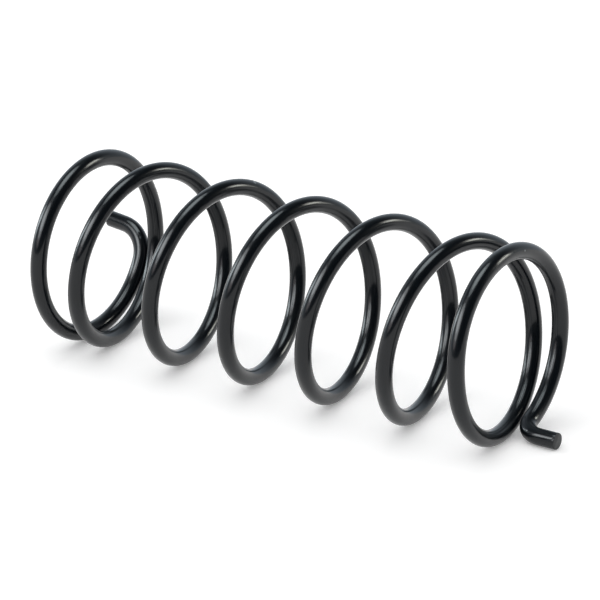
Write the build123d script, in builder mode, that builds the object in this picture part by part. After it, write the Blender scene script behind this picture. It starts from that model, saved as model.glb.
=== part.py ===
from build123d import *
from math import ceil, cos, floor, pi, radians, sin, tau
import os

# Small compression spring, wound left-hand from one round wire, all sizes in millimetres.
# The axis lies along X, the spring lies on Z = 0 and the origin is beneath its middle.
# Turns are counted from the top of the coil round its far side (+Y), then the bottom.

# Wire and coil
wire_d = 2.0
coil_r = 10.93  # from the axis to the wire's centre
whole_turns = 7  # from the first bottom of the coil to the last
pitch = 10.99  # of the open turns, per turn

# Where the wire of the coil begins and ends
left_end_angle = 117  # degrees past the top, on the far side
right_end_angle = 20  # degrees short of the bottom, on the far side

# End turns: each lies close against the next turn, and nearly touches it at the wire's end
left_closed_turns = 0.791
left_blend_turns = 0.253  # from the closed turn to the open pitch
left_gap = 0.15  # between the wire's end and the next turn
right_closed_turns = 1.033
right_blend_turns = 0.377  # from the open pitch to the lean, and again to the closed pitch
right_lean_pitch = -3.26  # where the right end turn leans back towards the coil
right_gap = 0.22

# The open turns beside the closed ones came off the winder a little uneven
left_uneven_turns = 1.09
left_pitch_change = -1.2
right_uneven_turns = 1.87
right_pitch_change = 0.68
uneven_blend_turns = 0.3

# Tangs: both wire ends are bent outwards, along the axis
left_bend_r = 4.1
left_tang = 2.3  # straight length past the bend
left_bend_short = 6.4  # degrees that the left bend stops short of square
right_bend_r = 2.4
right_tang = 2.6
wound_in_turns = 0.5  # length over which the right end is wound in to a smaller radius
end_chamfer = 0.1  # edge of each sheared wire end, softened by the coating

# The wire is made of straight runs with mitred corners, each touching the true curve mid-run
runs_per_turn = 14
corners_per_bend = 4

axis_height = coil_r + wire_d / 2
left_end = left_end_angle / 360
right_end = whole_turns + 0.5 - right_end_angle / 360


def left_closed_pitch():
    """Pitch that brings the left wire end up to the next turn, a gap apart, after one turn."""
    into_blend = 1 - left_closed_turns
    blend_share = into_blend**2 / (2 * left_blend_turns)
    open_pitch = pitch + left_pitch_change
    return (wire_d + left_gap - open_pitch * blend_share) / (1 - blend_share)


def right_closed_pitch():
    """The same for the right wire end, after the part that leans back."""
    into_blend = right_closed_turns - 1
    slope = (right_lean_pitch - pitch - right_pitch_change) / right_blend_turns
    at_one_turn = pitch + right_pitch_change + slope * into_blend
    climb = wire_d + right_gap
    climb -= (at_one_turn + right_lean_pitch) / 2 * (right_blend_turns - into_blend)
    climb -= right_lean_pitch * right_blend_turns / 2
    return climb / (right_closed_turns - right_blend_turns * 1.5)


def pitch_stations():
    """Turn and pitch wherever the pitch starts or stops changing."""
    left_pitch = pitch + left_pitch_change
    right_pitch = pitch + right_pitch_change
    left_open = left_end + left_closed_turns
    even_from = left_end + left_uneven_turns
    even_to = right_end - right_uneven_turns
    right_closed = right_end - right_closed_turns
    right_lean = right_closed + right_blend_turns
    return [
        (left_end, left_closed_pitch()),
        (left_open, left_closed_pitch()),
        (left_open + left_blend_turns, left_pitch),
        (even_from, left_pitch),
        (even_from + uneven_blend_turns, pitch),
        (even_to - uneven_blend_turns, pitch),
        (even_to, right_pitch),
        (right_closed, right_pitch),
        (right_lean, right_lean_pitch),
        (right_lean + right_blend_turns, right_closed_pitch()),
        (right_end, right_closed_pitch()),
    ]


def travel(turn):
    """Distance along the axis from the left end of the coil: the pitch, added up."""
    total = 0
    stations = pitch_stations()
    for (start, start_pitch), (stop, stop_pitch) in zip(stations, stations[1:]):
        reach = min(max(turn - start, 0), stop - start)
        reached_pitch = start_pitch + (stop_pitch - start_pitch) * reach / (stop - start)
        total += reach * (start_pitch + reached_pitch) / 2
    return total


def right_end_r():
    """Radius that brings the right tang down level with the turns, so that it stops their roll."""
    slope = radians(right_end_angle)
    lead = right_closed_pitch() / (tau * coil_r)
    return (coil_r - right_bend_r * sin(slope) * (1 - lead)) / cos(slope)


def radius(turn):
    """Radius of the wire's centre line, which closes in towards the right end."""
    wound_in = max(0, 1 - (right_end - turn) / wound_in_turns)
    return coil_r + (right_end_r() - coil_r) * wound_in**2


def coil_point(turn, outset=1):
    """Point of the coil's centre line, or outside it where its radius is multiplied by outset."""
    reach = radius(turn) * outset
    return Vector(travel(turn), reach * sin(tau * turn), axis_height + reach * cos(tau * turn))


def coil_direction(turn, step):
    """Direction of the wire at one of its ends, by a short step into the coil."""
    return (coil_point(turn + step) - coil_point(turn)).normalized() * (1 if step > 0 else -1)


def coil_corners():
    """Where neighbouring runs of the coil meet: a run touches the underside of every turn."""
    first = ceil((left_end - 0.5) * runs_per_turn + 0.5)
    last = floor((right_end - 0.5) * runs_per_turn - 0.5)
    touching = [0.5 + index / runs_per_turn for index in range(first, last + 1)]
    touching = [left_end, *touching, right_end]
    return [
        coil_point((one + other) / 2, 1 / cos(pi * (other - one)))
        for one, other in zip(touching, touching[1:])
    ]


class Bend:
    """A bend of the wire, from the end of the coil outwards, and its straight tang."""

    def __init__(self, start, onward, outward, bend_r, tang):
        square = (outward - onward * outward.dot(onward)).normalized()
        centre = start + square * bend_r
        corner_turn = radians(onward.get_angle(outward)) / corners_per_bend
        corner_r = bend_r / cos(corner_turn / 2)
        angles = [(index + 0.5) * corner_turn for index in range(corners_per_bend)]
        self.corners = [centre + (onward * sin(a) - square * cos(a)) * corner_r for a in angles]
        swept = corner_turn * corners_per_bend
        self.tang_start = centre + (onward * sin(swept) - square * cos(swept)) * bend_r
        self.tip = self.tang_start + outward * tang


# Centre line, from the left tip to the right tip
small_step = 1e-5
left_onward = coil_direction(left_end, small_step) * -1
short = radians(left_bend_short)
left_outward = (Vector(-cos(short), 0, 0) + left_onward * sin(short)).normalized()
left_bend = Bend(coil_point(left_end), left_onward, left_outward, left_bend_r, left_tang)
right_onward = coil_direction(right_end, -small_step)
right_outward = Vector(1, 0, 0)
right_bend = Bend(coil_point(right_end), right_onward, right_outward, right_bend_r, right_tang)

middle = Vector((left_bend.tip.X + right_bend.tip.X) / 2, 0, 0)
route = [left_bend.tip, *reversed(left_bend.corners), *coil_corners()]
route += [*right_bend.corners, right_bend.tip]

with BuildPart() as spring:
    with BuildLine() as centre_line:
        Polyline(*[point - middle for point in route])
    with BuildSketch(Plane(left_bend.tip - middle, z_dir=left_outward * -1)):
        Circle(wire_d / 2)
    sweep(path=centre_line.wire(), transition=Transition.RIGHT)
    ends = spring.faces().filter_by(GeomType.PLANE)
    chamfer(ends.edges(), end_chamfer)

spring.part.label = "spring"

wire_volume = tau / 8 * wire_d**2 * centre_line.wire().length
print("runs", len(route) - 1, "wire", round(centre_line.wire().length, 2))
print("section times length", round(wire_volume, 2), "volume", round(spring.part.volume, 2))
for side, bend in (("left", left_bend), ("right", right_bend)):
    print(side, "tang from", bend.tang_start - middle, "to", bend.tip - middle)

os.makedirs("parts", exist_ok=True)
export_step(spring.part, "parts/spring.step")
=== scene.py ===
from math import cos, pi, radians, sin, tan, tau

import bpy
import numpy as np
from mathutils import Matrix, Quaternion, Vector


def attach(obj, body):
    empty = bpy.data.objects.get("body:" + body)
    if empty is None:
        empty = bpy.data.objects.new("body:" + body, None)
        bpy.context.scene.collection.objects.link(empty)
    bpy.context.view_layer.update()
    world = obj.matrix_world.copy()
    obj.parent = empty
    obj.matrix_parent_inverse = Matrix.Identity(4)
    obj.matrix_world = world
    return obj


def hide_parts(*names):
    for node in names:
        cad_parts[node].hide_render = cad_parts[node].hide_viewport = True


# A small compression spring, wound left-hand from black coated wire, on white studio paper.
# The spring and the camera are sized in millimetres and turn to metres where they are made.
# The reach of the paper and the distance of the lamps are in metres.

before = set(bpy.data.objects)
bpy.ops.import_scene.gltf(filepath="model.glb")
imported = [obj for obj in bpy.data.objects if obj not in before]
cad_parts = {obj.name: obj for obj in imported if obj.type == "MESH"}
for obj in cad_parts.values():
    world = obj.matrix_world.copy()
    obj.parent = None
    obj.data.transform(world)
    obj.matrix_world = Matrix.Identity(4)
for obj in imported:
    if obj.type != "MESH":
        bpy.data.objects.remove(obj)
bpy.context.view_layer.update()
MM = 0.001

# Wire and coil. Turns are counted from the top of the coil over its far side
wire_r = 1.0
coil_r = 10.93
axis_height = coil_r + wire_r
left_end = 117 / 360
right_end = 7.5 - 20 / 360
right_end_r = 10.802
wound_in_turns = 0.5  # over which the coil closes in to right_end_r

# Pitch: how far the wire travels along the axis in a turn
left_closed_pitch = 1.311
left_open_pitch = 10.352
open_pitch = 10.992
right_open_pitch = 11.681
right_lean_pitch = -3.26
right_closed_pitch = 3.492

# Where along the coil the pitch starts or stops changing
pitch_stations = [
    (left_end, left_closed_pitch),
    (left_end + 0.786, left_closed_pitch),
    (left_end + 1.082, left_open_pitch),
    (left_end + 1.128, left_open_pitch),
    (left_end + 1.466, open_pitch),
    (right_end - 2.184, open_pitch),
    (right_end - 1.846, right_open_pitch),
    (right_end - 1.033, right_open_pitch),
    (right_end - 0.656, right_lean_pitch),
    (right_end - 0.279, right_closed_pitch),
    (right_end, right_closed_pitch),
]

# Bends and tangs
left_bend_r = 4.116
left_tang = 2.295
left_bend_short = radians(5.6)  # by which the left bend stops short of square
right_bend_r = 2.4
right_tang = 2.59

# Mesh of the wire
ring_step = 0.4
ring_points = 40

# Sheared ends of the wire: a rounded edge, and a face that tilts away past the shear line
edge_round = 0.1
edge_steps = 4
face_radii = (0.7, 0.55, 0.4, 0.25, 0.1)
shear_tilt = radians(7)
shear_offset = 0.25
shear_turn = radians(50)

# Coating: the waves of its surface, and cells along the wire, a few of which hold a nick.
# A nick begins and is full at these distances from the middle of its cell, in cells
peel_waves_per_mm = 0.9
peel_depth = 0.03
nick_cells_per_mm = 0.45
nick_share = 0.12
nick_begins = 0.12
nick_full = 0.08
coat_colour = "#060b10"
undercoat_colour = "#62676b"

# Paper
paper_reach = 3.0
paper_colour = "#f8f8f8"
paper_glow = 0.2

# Camera, where the photograph was taken from
camera_azimuth = radians(35.081)
camera_elevation = radians(20.295)
camera_distance = 458.53
camera_lens = 233.99
camera_looks_at = Vector((1.175, -0.053, 11.307))

# Lamps and dome
lamp_distance = 0.6
key_tint = "#f6fbff"
cool_tint = "#f0fbff"
dome_strength = 0.89

# Backdrop: its strength from dark to pale, how it narrows upwards, and where it fades
backdrop_azimuth = radians(140)
backdrop_tint = "#e6f3ff"
backdrop_dark = 0.03
backdrop_pale = 0.92
backdrop_narrowing = -0.8
backdrop_sides = (-0.55, 0.35)
backdrop_top = (1.05, 0.55)


def srgb(code):
    """A hex colour as linear red, green, blue and alpha."""
    parts = [int(code[i : i + 2], 16) / 255 for i in (1, 3, 5)]
    return [c / 12.92 if c <= 0.04045 else ((c + 0.055) / 1.055) ** 2.4 for c in parts] + [1]


# Centre line of the wire


def travel(turn):
    """Distance along the axis from the coil's left end: the pitch, added up."""
    total = 0
    for (start, start_pitch), (stop, stop_pitch) in zip(pitch_stations, pitch_stations[1:]):
        reach = min(max(turn - start, 0), stop - start)
        reached_pitch = start_pitch + (stop_pitch - start_pitch) * reach / (stop - start)
        total += reach * (start_pitch + reached_pitch) / 2
    return total


def coil_point(turn):
    """Point of the coil's centre line."""
    wound_in = max(0, 1 - (right_end - turn) / wound_in_turns)
    r = coil_r + (right_end_r - coil_r) * wound_in**2
    return Vector((travel(turn), r * sin(tau * turn), axis_height + r * cos(tau * turn)))


def bend_points(start, onward, outward, bend_r, tang):
    """Points of a bend that leaves the coil along onward and turns outward, and of its tang."""
    square = (outward - onward * outward.dot(onward)).normalized()
    centre = start + square * bend_r
    swept = onward.angle(outward)
    steps = int(swept * bend_r / ring_step) * 2
    arc = [
        centre + (onward * sin(swept * i / steps) - square * cos(swept * i / steps)) * bend_r
        for i in range(1, steps + 1)
    ]
    return [*arc, arc[-1] + outward * tang / 2, arc[-1] + outward * tang]


def wire_centre_line():
    """Points from the left tip to the right tip, in the part's frame."""
    step = 1e-5
    left, right = coil_point(left_end), coil_point(right_end)
    left_onward = (left - coil_point(left_end + step)).normalized()
    right_onward = (right - coil_point(right_end - step)).normalized()
    left_outward = Vector((-cos(left_bend_short), 0, 0)) + left_onward * sin(left_bend_short)
    left_outward.normalize()
    left_part = bend_points(left, left_onward, left_outward, left_bend_r, left_tang)
    right_part = bend_points(right, right_onward, Vector((1, 0, 0)), right_bend_r, right_tang)
    count = int(tau * coil_r * (right_end - left_end) / ring_step)
    turns = [left_end + (right_end - left_end) * i / count for i in range(count + 1)]
    points = [*reversed(left_part), *[coil_point(t) for t in turns], *right_part]
    middle = Vector(((points[0].x + points[-1].x) / 2, 0, 0))
    return np.array([p - middle for p in points])


# Mesh of the wire


def evenly(points, step):
    """The same line with its points about step apart, and each point's distance from the start."""
    lengths = np.linalg.norm(np.diff(points, axis=0), axis=1)
    along = np.concatenate([[0], np.cumsum(lengths)])
    places = np.linspace(0, along[-1], int(along[-1] / step) + 1)
    return np.stack([np.interp(places, along, points[:, k]) for k in range(3)], axis=1), places


def ring_frames(points):
    """Direction of the line at each point, and two directions square to it that don't twist."""
    forward = np.gradient(points, axis=0)
    forward /= np.linalg.norm(forward, axis=1)[:, None]
    side = np.cross(forward[0], [0, 0, 1])
    sides = []
    for way in forward:
        side = side - way * (side @ way)
        side /= np.linalg.norm(side)
        sides.append(side)
    sides = np.array(sides)
    return forward, sides, np.cross(forward, sides)


def end_rings():
    """Distance back from the tip, and radius, of the rings over an end, inwards from its edge."""
    turns = [pi / 2 * i / edge_steps for i in range(edge_steps + 1)]
    rounded = [(edge_round * (1 - sin(a)), wire_r - edge_round * (1 - cos(a))) for a in turns]
    return rounded + [(0, r) for r in face_radii]


def sheared_face(across, up):
    """How far the end face falls back from the tip: past the shear line, it tilts away."""
    beyond = across * cos(shear_turn) + up * sin(shear_turn) - shear_offset
    return max(0, beyond) * tan(shear_tilt)


def wire_mesh():
    """The wire as one closed tube, with its place on the straightened wire kept at each point."""
    line, places = evenly(wire_centre_line(), ring_step)
    forward, sides, ups = ring_frames(line)
    angles = np.linspace(0, tau, ring_points, endpoint=False)
    points, straightened = [], []

    def add_ring(centre, side, up, back, r, place):
        for a in angles:
            across, high = r * cos(a), r * sin(a)
            fall = sheared_face(across, high) if r < wire_r - edge_round / 2 else 0
            points.append(centre + side * across + up * high + back * fall)
            straightened.append((place, across, high))

    for back, r in reversed(end_rings()):
        add_ring(line[0] + forward[0] * back, sides[0], ups[0], forward[0], r, back)
    past_edge = int(edge_round / ring_step) + 1
    for i in range(past_edge, len(line) - past_edge):
        add_ring(line[i], sides[i], ups[i], forward[i], wire_r, places[i])
    for back, r in end_rings():
        centre = line[-1] - forward[-1] * back
        add_ring(centre, sides[-1], ups[-1], -forward[-1], r, places[-1] - back)

    n = ring_points
    rings = len(points) // n
    faces = [
        (i * n + j, i * n + (j + 1) % n, (i + 1) * n + (j + 1) % n, (i + 1) * n + j)
        for i in range(rings - 1)
        for j in range(n)
    ]
    for ring, tip, place in ((0, line[0], 0), (rings - 1, line[-1], places[-1])):
        points.append(tip)
        straightened.append((place, 0, 0))
        middle = len(points) - 1
        for j in range(n):
            one, other = ring * n + j, ring * n + (j + 1) % n
            faces.append((middle, other, one) if ring == 0 else (middle, one, other))

    mesh = bpy.data.meshes.new("spring_wire")
    mesh.from_pydata([Vector(p) * MM for p in points], [], faces)
    mesh.polygons.foreach_set("use_smooth", [True] * len(mesh.polygons))
    mesh.attributes.new("straight_wire", "FLOAT_VECTOR", "POINT")
    mesh.attributes["straight_wire"].data.foreach_set("vector", np.array(straightened).ravel())
    mesh.update()
    return mesh


# Materials


def add(tree, kind, links=None, values=None, **settings):
    """Adds a node with its settings, input values, and links from other nodes' output sockets."""
    node = tree.nodes.new(kind)
    for name, value in settings.items():
        setattr(node, name, value)
    for name, value in (values or {}).items():
        node.inputs[name].default_value = value
    for name, socket in (links or {}).items():
        tree.links.new(socket, node.inputs[name])
    return node


def maths(tree, operation, *terms):
    """Output socket of a Math node. Each term is a number or another node's output socket."""
    values = {i: term for i, term in enumerate(terms) if isinstance(term, (int, float))}
    links = {i: term for i, term in enumerate(terms) if i not in values}
    return add(tree, "ShaderNodeMath", links, values, operation=operation).outputs["Value"]


def smooth_step(tree, value, start, stop):
    """Output socket that goes smoothly from 0 to 1 as the value goes from start to stop."""
    ends = {"From Min": start, "From Max": stop}
    step = add(tree, "ShaderNodeMapRange", {"Value": value}, ends, interpolation_type="SMOOTHSTEP")
    return step.outputs["Result"]


def new_material(name):
    """An empty material, and its node tree."""
    material = bpy.data.materials.new(name)
    material.use_nodes = True
    material.node_tree.nodes.clear()
    return material, material.node_tree


def black_electrocoat():
    """Black electrocoat on spring wire: a thin, even, fairly glossy paint, baked on."""
    material, tree = new_material("black_electrocoat")
    place = add(tree, "ShaderNodeAttribute", attribute_name="straight_wire").outputs["Vector"]
    # orange peel of the baked paint, soft waves of about a millimetre
    waves = {"Scale": peel_waves_per_mm, "Detail": 1.0}
    peel = add(tree, "ShaderNodeTexNoise", {"Vector": place}, waves).outputs["Fac"]
    relief = {"Strength": 0.2, "Distance": peel_depth * MM}
    bump = add(tree, "ShaderNodeBump", {"Height": peel}, relief).outputs["Normal"]
    # a few pinhead nicks, down to the grey undercoat
    cells = add(tree, "ShaderNodeTexVoronoi", {"Vector": place}, {"Scale": nick_cells_per_mm})
    tone = add(tree, "ShaderNodeSeparateColor", {"Color": cells.outputs["Color"]}).outputs["Red"]
    picked = maths(tree, "LESS_THAN", tone, nick_share)
    close = smooth_step(tree, cells.outputs["Distance"], nick_begins, nick_full)
    nick = {"Factor": maths(tree, "MULTIPLY", picked, close)}
    # a Mix node's colours are its inputs 6 and 7 and its output 2
    coats = {6: srgb(coat_colour), 7: srgb(undercoat_colour)}
    colour = add(tree, "ShaderNodeMix", nick, coats, data_type="RGBA").outputs[2]
    paint = add(
        tree,
        "ShaderNodeBsdfPrincipled",
        {"Normal": bump, "Base Color": colour},
        {
            "Roughness": 0.32,
            "IOR": 1.5,
            "Specular IOR Level": 0.1,
            "Coat Weight": 0.54,
            "Coat Roughness": 0.1,
        },
    )
    add(tree, "ShaderNodeOutputMaterial", {"Surface": paint.outputs["BSDF"]})
    return material


def white_paper():
    """Matte white background paper. A little light of its own, which only the camera and
    reflections see, hides the widest shade and keeps the white even."""
    material, tree = new_material("white_paper")
    paper = add(
        tree,
        "ShaderNodeBsdfPrincipled",
        None,
        {"Base Color": srgb(paper_colour), "Roughness": 1.0, "Specular IOR Level": 0.0},
    )
    rays = add(tree, "ShaderNodeLightPath").outputs
    seen = maths(tree, "MAXIMUM", rays["Is Camera Ray"], rays["Is Glossy Ray"])
    seen = maths(tree, "MAXIMUM", seen, rays["Is Transmission Ray"])
    lift = maths(tree, "MULTIPLY", seen, paper_glow)
    glow = add(tree, "ShaderNodeEmission", {"Strength": lift})
    both = add(tree, "ShaderNodeAddShader", {0: paper.outputs["BSDF"], 1: glow.outputs["Emission"]})
    add(tree, "ShaderNodeOutputMaterial", {"Surface": both.outputs["Shader"]})
    return material


# The spring

mesh = wire_mesh()
spring = bpy.data.objects.new("spring_wire", mesh)
bpy.context.scene.collection.objects.link(spring)
mesh.materials.append(black_electrocoat())
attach(spring, "root")
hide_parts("spring")

# Floor

floor_mesh = bpy.data.meshes.new("paper_floor")
corners = [(-1, -1, 0), (1, -1, 0), (1, 1, 0), (-1, 1, 0)]
floor_mesh.from_pydata([Vector(c) * paper_reach for c in corners], [], [(0, 1, 2, 3)])
floor = bpy.data.objects.new("paper_floor", floor_mesh)
bpy.context.scene.collection.objects.link(floor)
floor_mesh.materials.append(white_paper())

# Camera

camera_way = Vector(
    (
        sin(camera_azimuth) * cos(camera_elevation),
        -cos(camera_azimuth) * cos(camera_elevation),
        sin(camera_elevation),
    )
)
camera_data = bpy.data.cameras.new("camera")
camera_data.sensor_width = 36
camera_data.lens = camera_lens
camera_data.clip_start = 0.01
camera = bpy.data.objects.new("camera", camera_data)
camera.location = (camera_looks_at + camera_way * camera_distance) * MM
camera.rotation_mode = "QUATERNION"
camera.rotation_quaternion = (-camera_way).to_track_quat("-Z", "Y")
bpy.context.scene.collection.objects.link(camera)
bpy.context.scene.camera = camera

# Studio light. Reflections show soft boxes, in a dark room with a pale backdrop. The shading
# comes from one soft lamp and an even white dome, which reflections don't show


def soft_box(name, way, size, radiance, tint="#ffffff", oval=True, turn=0, mirrored=True):
    """A lamp that faces the spring, for reflections only or else for shading only. Its way is
    azimuth and elevation, and its size width and height, in degrees as the spring sees it."""
    azimuth, elevation = radians(way[0]), radians(way[1])
    away = Vector((cos(azimuth) * cos(elevation), sin(azimuth) * cos(elevation), sin(elevation)))
    lamp = bpy.data.lights.new(name, "AREA")
    lamp.shape = "ELLIPSE" if oval else "RECTANGLE"
    lamp.size, lamp.size_y = [2 * lamp_distance * tan(radians(s / 2)) for s in size]
    lamp.energy = radiance * pi * lamp.size * lamp.size_y * (pi / 4 if oval else 1)
    lamp.color = srgb(tint)[:3]
    holder = bpy.data.objects.new(name, lamp)
    holder.rotation_mode = "QUATERNION"
    turned = Quaternion((0, 0, 1), radians(turn))
    holder.rotation_quaternion = away.to_track_quat("Z", "Y") @ turned
    holder.location = away * lamp_distance + Vector((0, 0, axis_height * MM))
    holder.visible_diffuse = not mirrored
    holder.visible_glossy = mirrored
    bpy.context.scene.collection.objects.link(holder)


soft_box("key_core", (252, 35), (30, 24), 4.9, key_tint)
soft_box("key_box", (256, 35.5), (49, 39), 4.3, key_tint)
soft_box("key_glow", (255, 36), (62, 54), 0.7)
soft_box("key_low", (253, 13), (40, 14), 1.05, "#fff0f2")
soft_box("top_core", (240, 86), (29, 29), 3.4, cool_tint)
soft_box("top_box", (240, 85), (45, 45), 3.3, cool_tint)
soft_box("left_strip", (196, 17), (13, 35), 7.6, cool_tint, oval=False, turn=-38)
soft_box("right_strip", (44, 19), (9, 29), 4.2, "#fffff4", oval=False)
soft_box("right_core", (43, 20), (11, 11), 8.5, "#fffff8", oval=False)
soft_box("floor_light", (215, 65), (60, 60), 0.88, mirrored=False)


def room():
    """World with a dark room, and a pale backdrop round the far side that fades upwards and to
    its ends. Diffuse rays meet the even white dome instead."""
    world = bpy.data.worlds.new("studio")
    world.use_nodes = True
    tree = world.node_tree
    tree.nodes.clear()
    way = add(tree, "ShaderNodeTexCoord").outputs["Generated"]
    up = add(tree, "ShaderNodeSeparateXYZ", {"Vector": way}).outputs["Z"]
    middle = {1: (cos(backdrop_azimuth), sin(backdrop_azimuth), 0)}
    facing = add(tree, "ShaderNodeVectorMath", {0: way}, middle, operation="DOT_PRODUCT")
    narrowed = maths(tree, "MULTIPLY_ADD", up, backdrop_narrowing, facing.outputs["Value"])
    wide = smooth_step(tree, narrowed, *backdrop_sides)
    low = smooth_step(tree, up, *backdrop_top)
    pale = {"Value": maths(tree, "MULTIPLY", wide, low)}
    shades = {"To Min": backdrop_dark, "To Max": backdrop_pale}
    shade = {"Strength": add(tree, "ShaderNodeMapRange", pale, shades).outputs["Result"]}
    seen = add(tree, "ShaderNodeBackground", shade, {"Color": srgb(backdrop_tint)})
    dome = {"Color": srgb("#ffffff"), "Strength": dome_strength}
    even = add(tree, "ShaderNodeBackground", None, dome)
    diffuse = add(tree, "ShaderNodeLightPath").outputs["Is Diffuse Ray"]
    light = add(
        tree,
        "ShaderNodeMixShader",
        {0: diffuse, 1: seen.outputs["Background"], 2: even.outputs["Background"]},
    )
    add(tree, "ShaderNodeOutputWorld", {"Surface": light.outputs["Shader"]})
    return world


bpy.context.scene.world = room()
bpy.context.scene.view_settings.view_transform = "Standard"
